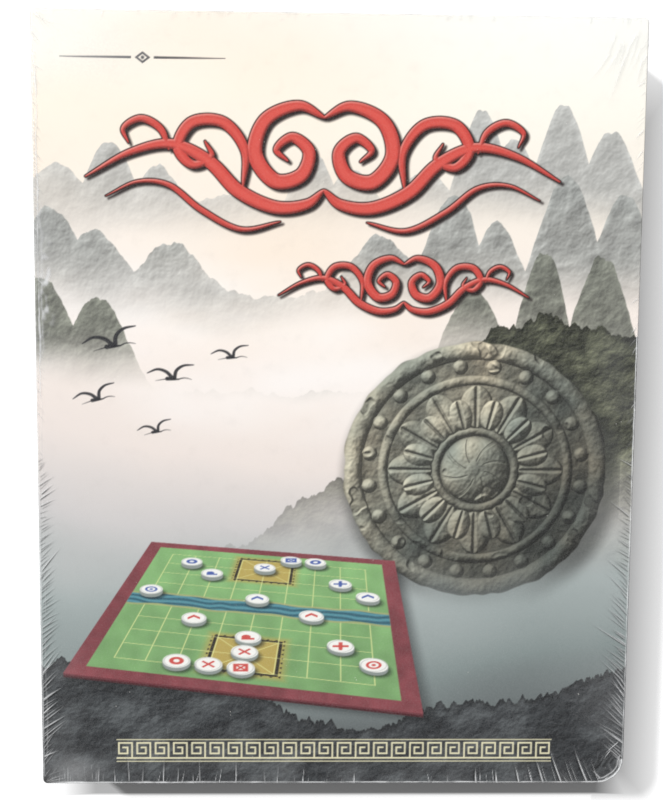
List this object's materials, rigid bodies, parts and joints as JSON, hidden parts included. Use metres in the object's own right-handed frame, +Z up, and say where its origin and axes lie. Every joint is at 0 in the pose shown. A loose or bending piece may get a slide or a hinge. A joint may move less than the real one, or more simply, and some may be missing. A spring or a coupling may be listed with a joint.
{
  "type": "boxed board game set",
  "caption": "Flat portrait game case with a lift-off lid in shrink film, holding a folding board, round playing pieces in a formed tray, a rules sheet and a book.",
  "frame": {"origin": "middle of the underside of the case as it lies flat on its back", "axes": "+Z up through the cover, +Y towards the head of the cover picture, +X to the cover's right"},
  "size_m": [0.225, 0.29, 0.032],
  "materials": {
    "greyboard": "uncoated greyboard, matt, flecked",
    "cover_print": "printed litho paper, satin varnish, misty mountain landscape in cream, grey and olive",
    "base_paper": "plain dark slate wrap paper, satin",
    "kraft_tape": "brown gummed paper tape, matt",
    "shrink_film": "clear shrink film, glossy, finely wrinkled along its edges",
    "tray_plastic": "flocked ivory thermoformed sheet, soft matt",
    "board_backing": "maroon linen-embossed backing paper",
    "board_print": "printed green playing surface with a maroon frame, satin varnish",
    "hinge_cloth": "dark maroon book cloth, fine weave",
    "book_card": "printed card cover, satin varnish",
    "book_paper": "off-white book paper, trimmed edges",
    "leaflet_paper": "white uncoated paper, folded",
    "red_piece": "white moulded plastic disc, cut mark filled in red",
    "blue_piece": "white moulded plastic disc, cut mark filled in blue"
  },
  "bodies": {
    "base": {"base_board": "greyboard", "base_wrap": "base_paper", "base_corner_stays": "kraft_tape", "base_film": "shrink_film"},
    "lid": {"lid_board": "greyboard", "lid_wrap": "cover_print", "lid_corner_stays": "kraft_tape", "lid_film": "shrink_film"},
    "tray": {"insert_tray": "tray_plastic"},
    "rules": {"rules_leaflet": "leaflet_paper"},
    "board_lower": {"board_core_lower": "greyboard", "board_face_lower": "board_print", "board_back_lower": "board_backing", "board_hinge_cloth": "hinge_cloth"},
    "board_upper": {"board_core_upper": "greyboard", "board_face_upper": "board_print", "board_back_upper": "board_backing"},
    "book": {"book_cover": "book_card", "book_pages": "book_paper"},
    "blue_pieces": {"blue_advisors": "blue_piece", "blue_cannons": "blue_piece", "blue_chariots": "blue_piece", "blue_elephants": "blue_piece", "blue_general": "blue_piece", "blue_horses": "blue_piece", "blue_soldiers": "blue_piece"},
    "red_pieces": {"red_advisors": "red_piece", "red_cannons": "red_piece", "red_chariots": "red_piece", "red_elephants": "red_piece", "red_general": "red_piece", "red_horses": "red_piece", "red_soldiers": "red_piece"}
  },
  "joints": [
    {"name": "lid_lift", "type": "slide", "parent": "base", "child": "lid", "axis": [0, 0, 1], "range_m": [0, 0.56]},
    {"name": "tray_lift", "type": "slide", "parent": "base", "child": "tray", "axis": [0, 0, 1], "range_m": [0, 0.062]},
    {"name": "rules_lift", "type": "slide", "parent": "base", "child": "rules", "axis": [0, 0, 1], "range_m": [0, 0.076]},
    {"name": "board_lift", "type": "slide", "parent": "base", "child": "board_lower", "axis": [0, 0, 1], "range_m": [0, 0.09]},
    {"name": "book_lift", "type": "slide", "parent": "base", "child": "book", "axis": [0, 0, 1], "range_m": [0, 0.0368]},
    {"name": "blue_pieces_lift", "type": "slide", "parent": "base", "child": "blue_pieces", "axis": [0, 0, 1], "range_m": [0, 0.0788]},
    {"name": "red_pieces_lift", "type": "slide", "parent": "base", "child": "red_pieces", "axis": [0, 0, 1], "range_m": [0, 0.0928]},
    {"name": "board_unfold", "type": "hinge", "parent": "board_lower", "child": "board_upper", "pos_m": [-0.10141, 0, 0.0253], "axis": [0, -1, 0], "range_deg": [0, 180], "deforming": ["board_hinge_cloth"]}
  ],
  "couplings": [
    {"joint": "tray_lift", "follows": "lid_lift", "ratio": 0.11},
    {"joint": "rules_lift", "follows": "lid_lift", "ratio": 0.135},
    {"joint": "board_lift", "follows": "lid_lift", "ratio": 0.16},
    {"joint": "book_lift", "follows": "lid_lift", "ratio": 0.065},
    {"joint": "blue_pieces_lift", "follows": "lid_lift", "ratio": 0.14},
    {"joint": "red_pieces_lift", "follows": "lid_lift", "ratio": 0.165},
    {"joint": "board_unfold", "follows": "lid_lift", "rad_per_m": 5.6099}
  ]
}
